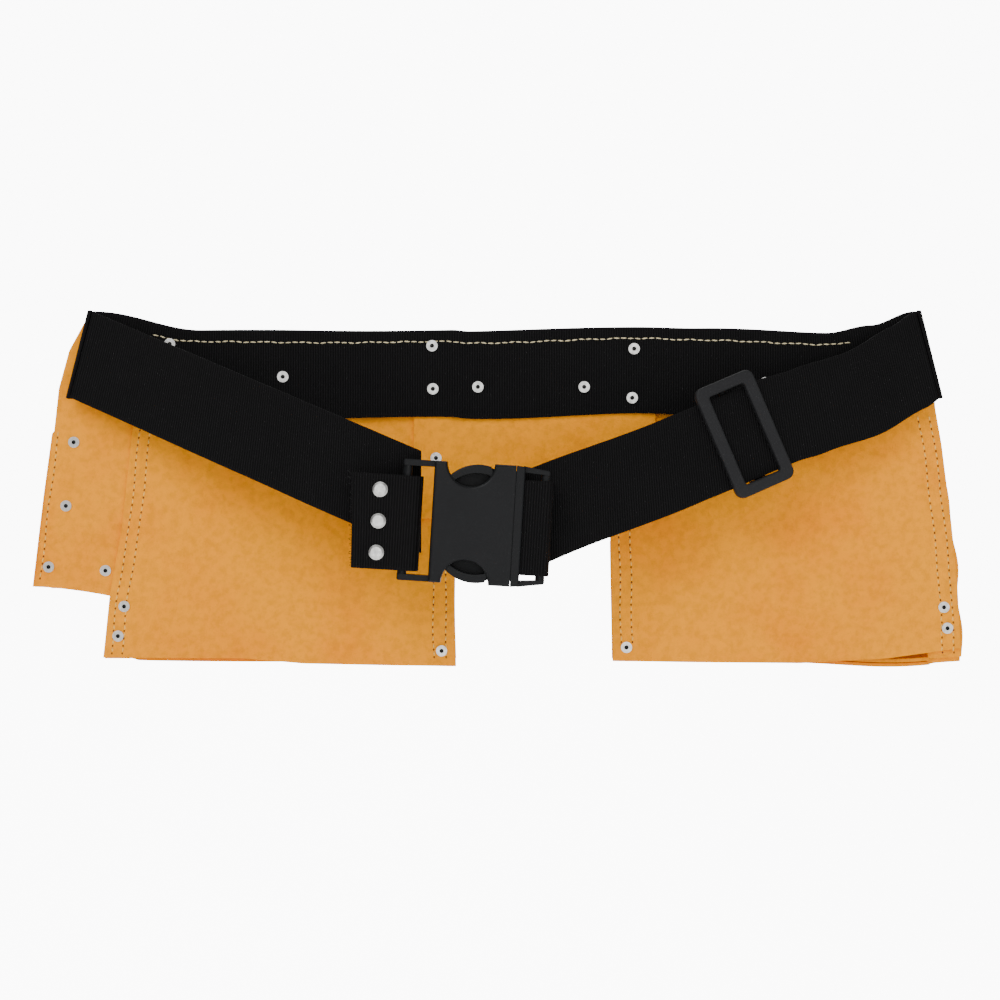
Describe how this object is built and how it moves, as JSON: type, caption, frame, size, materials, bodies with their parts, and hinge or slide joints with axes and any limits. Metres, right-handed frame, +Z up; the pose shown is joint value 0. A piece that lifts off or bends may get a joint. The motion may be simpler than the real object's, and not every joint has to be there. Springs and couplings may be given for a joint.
{
  "type": "tool belt",
  "caption": "Toy tool belt: webbing waist strap with a side-release buckle and slide adjuster, carrying orange leather pouches with open pockets and loops",
  "frame": {"origin": "the middle of the band, on the face that rests against the waist", "axes": "+X along the band towards the wearer's left hand, +Z up, and the pockets on the +Y side; the wearer is on the -Y side"},
  "size_m": [0.531, 0.1583, 0.2011],
  "materials": {
    "leather": "suede split leather, orange",
    "webbing": "ribbed black webbing",
    "buckle_plastic": "satin",
    "adjuster_plastic": "fine matt grain",
    "nickel": "nickel-plated rivets, slightly worn"
  },
  "bodies": {
    "apron": {"band_rivet_1": "nickel", "band_rivet_2": "nickel", "band_rivet_3": "nickel", "band_rivet_4": "nickel", "band_rivet_5": "nickel", "band_rivet_6": "nickel", "band_rivet_7": "nickel", "band_rivet_8": "nickel", "band_rivet_9": "nickel", "band_webbing": "webbing", "centre_panel": "leather", "centre_tape_loop": "leather", "left_end_fold": "webbing", "left_main_bottom": "leather", "left_main_pocket": "leather", "left_nail_bottom": "leather", "left_nail_pocket": "leather", "left_pouch_back": "leather", "left_pouch_rivet_1": "nickel", "left_pouch_rivet_2": "nickel", "left_pouch_rivet_3": "nickel", "left_tool_bottom": "leather", "left_tool_pocket": "leather", "panel_rivet_1": "nickel", "panel_rivet_2": "nickel", "right_end_fold": "webbing", "right_hammer_loop": "leather", "right_main_bottom": "leather", "right_main_pocket": "leather", "right_nail_bottom": "leather", "right_nail_pocket": "leather", "right_pouch_back": "leather", "right_pouch_rivet_1": "nickel", "right_pouch_rivet_2": "nickel", "right_pouch_rivet_3": "nickel", "side_holster": "leather", "side_holster_bottom": "leather", "side_panel": "leather", "side_rivet_1": "nickel", "side_rivet_2": "nickel", "side_rivet_3": "nickel", "side_rivet_4": "nickel"},
    "strap": {"buckle_female": "buckle_plastic", "cap_rivet_1": "nickel", "cap_rivet_2": "nickel", "cap_rivet_3": "nickel", "left_strap_flap": "webbing", "left_strap_webbing": "webbing", "right_strap_webbing": "webbing", "strap_return_webbing": "webbing"},
    "male": {"buckle_male_base": "buckle_plastic", "male_webbing_loop": "webbing"},
    "latch_upper": {"buckle_prong_upper": "buckle_plastic"},
    "latch_lower": {"buckle_prong_lower": "buckle_plastic"},
    "adjuster": {"triglide_frame": "adjuster_plastic", "triglide_webbing_end": "webbing"}
  },
  "joints": [
    {"name": "strap_swing", "type": "hinge", "parent": "apron", "child": "strap", "pos_m": [0, -0.0033, 0.03537], "axis": [-1, 0, 0], "range_deg": [0, 45]},
    {"name": "buckle_release", "type": "slide", "parent": "strap", "child": "male", "axis": [0.9981, 0, -0.061], "range_m": [0, 0.038], "deforming": ["buckle_prong_upper", "buckle_prong_lower"]},
    {"name": "latch_upper_squeeze", "type": "hinge", "parent": "male", "child": "latch_upper", "pos_m": [0.00352, -0.058, -0.06562], "axis": [0, -1, 0], "range_deg": [0, 8], "stiffness_Nm_per_rad": 0.8},
    {"name": "latch_lower_squeeze", "type": "hinge", "parent": "male", "child": "latch_lower", "pos_m": [0.00108, -0.058, -0.10554], "axis": [0, 1, 0], "range_deg": [0, 8], "stiffness_Nm_per_rad": 0.8},
    {"name": "adjuster_slide", "type": "slide", "parent": "strap", "child": "adjuster", "axis": [0.905, 0.1771, 0.3868], "range_m": [-0.02, 0.02]}
  ]
}
